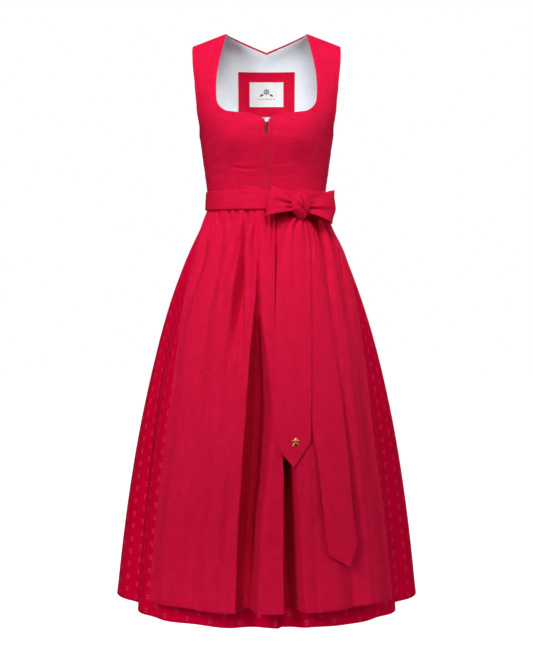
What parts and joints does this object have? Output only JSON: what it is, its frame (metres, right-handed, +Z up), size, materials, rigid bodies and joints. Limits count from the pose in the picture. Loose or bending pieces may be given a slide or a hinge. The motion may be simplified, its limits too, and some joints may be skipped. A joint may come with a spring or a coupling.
{
  "type": "dirndl",
  "caption": "Sleeveless midi dirndl, hollow as worn: bodice with heart neckline and front zip, gathered jacquard skirt, linen apron with its ribbon tied in a front bow.",
  "frame": {"origin": "midway between the two shoulder straps, at the height where they rest on the wearer's shoulders", "axes": "+Z up along the length, -Y out of the garment's front, +X to the wearer's left"},
  "size_m": [0.6618, 0.6279, 1.2259],
  "materials": {
    "linen": "plain woven linen, slightly slubby",
    "jacquard": "satin jacquard with small tone-on-tone sprigs",
    "lining": "plain cotton",
    "label": "satin weave",
    "zip_tape": "woven tape",
    "zip_metal": "lacquered",
    "gilt": "polished"
  },
  "bodies": {
    "dress": {"bodice_front_right": "linen", "bodice_front_left": "linen", "bodice_side_front_right": "linen", "bodice_side_front_left": "linen", "bodice_back_right": "linen", "bodice_back_left": "linen", "lining_back_right": "lining", "lining_back_left": "lining", "label_patch": "linen", "label": "label", "zip_chain": "zip_tape", "zip_tape": "zip_tape", "zip_slider": "zip_metal", "skirt_front": "jacquard", "skirt_back": "jacquard", "apron_band": "linen", "ribbon_back": "linen", "apron": "linen", "bow_loop_right": "linen", "bow_loop_left": "linen", "bow_knot": "linen", "ribbon_tail_right": "linen", "ribbon_tail_left": "linen", "ribbon_charm": "gilt"},
    "zip_pull": {"zip_tab": "zip_metal"}
  },
  "joints": [
    {"name": "zip_pull_swing", "type": "hinge", "parent": "dress", "child": "zip_pull", "pos_m": [0, -0.1213, -0.1878], "axis": [-1, 0, 0], "range_deg": [0, 150]}
  ]
}
